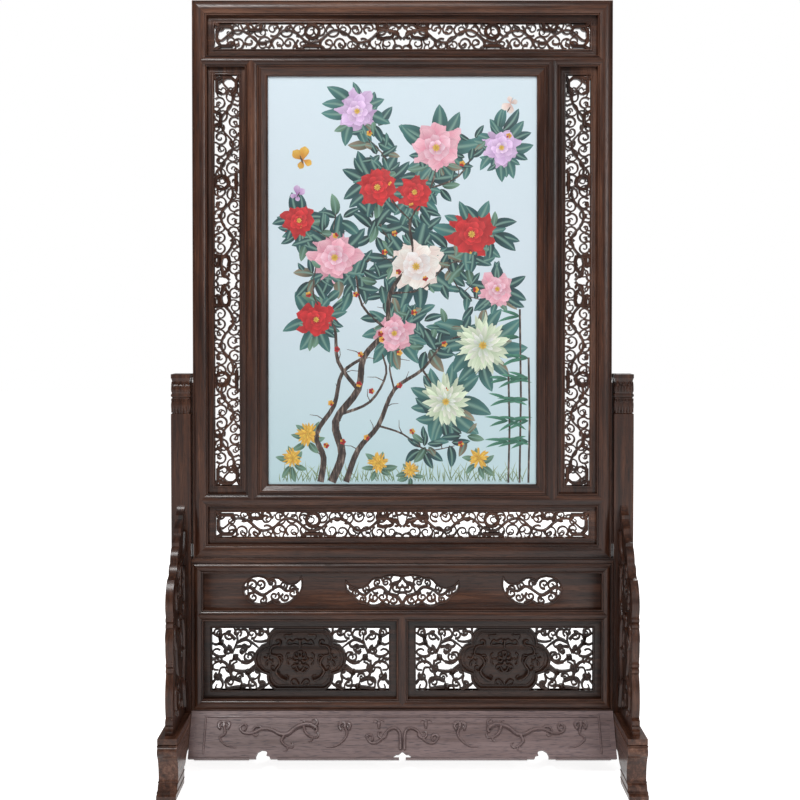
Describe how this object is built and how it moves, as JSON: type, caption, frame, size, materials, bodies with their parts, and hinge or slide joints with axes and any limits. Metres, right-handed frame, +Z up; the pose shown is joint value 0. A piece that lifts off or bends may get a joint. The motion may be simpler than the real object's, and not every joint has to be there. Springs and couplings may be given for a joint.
{
  "type": "embroidered silk floor screen",
  "caption": "Floor-standing screen: a silk panel between pierced scroll boards in a moulded frame, which lifts out of grooved posts on a stand with sledge feet.",
  "frame": {"origin": "centre of the stand's footprint on the floor", "axes": "+Z up, -Y out of the front, +X to the right seen from the front"},
  "size_m": [1.142, 0.426, 1.8973],
  "materials": {
    "hardwood": "oiled and polished dark hardwood",
    "silk": "satin silk with coloured silk embroidery"
  },
  "bodies": {
    "stand": {"apron_back": "hardwood", "apron_front": "hardwood", "cloud_board": "hardwood", "foot_left": "hardwood", "foot_right": "hardwood", "lower_fret_left": "hardwood", "lower_fret_right": "hardwood", "post_left": "hardwood", "post_right": "hardwood", "rest_ledge": "hardwood", "spandrel_back_left": "hardwood", "spandrel_back_right": "hardwood", "spandrel_front_left": "hardwood", "spandrel_front_right": "hardwood", "stand_bottom_rail": "hardwood", "stand_middle_rail": "hardwood", "stand_muntin": "hardwood", "stand_stile_left": "hardwood", "stand_stile_right": "hardwood", "stand_top_rail": "hardwood"},
    "screen": {"embroidered_silk": "silk", "fret_bottom": "hardwood", "fret_left": "hardwood", "fret_right": "hardwood", "fret_top": "hardwood", "inner_stile_left": "hardwood", "inner_stile_right": "hardwood", "picture_moulding_back_bottom": "hardwood", "picture_moulding_back_left": "hardwood", "picture_moulding_back_right": "hardwood", "picture_moulding_back_top": "hardwood", "picture_moulding_front_bottom": "hardwood", "picture_moulding_front_left": "hardwood", "picture_moulding_front_right": "hardwood", "picture_moulding_front_top": "hardwood", "screen_bottom_rail": "hardwood", "screen_lower_rail": "hardwood", "screen_stile_left": "hardwood", "screen_stile_right": "hardwood", "screen_top_rail": "hardwood", "screen_upper_rail": "hardwood", "stretcher_bar_bottom": "hardwood", "stretcher_bar_left": "hardwood", "stretcher_bar_right": "hardwood", "stretcher_bar_top": "hardwood"}
  },
  "joints": [
    {"name": "screen_lift", "type": "slide", "parent": "stand", "child": "screen", "axis": [0, 0, 1], "range_m": [0, 0.47]}
  ]
}
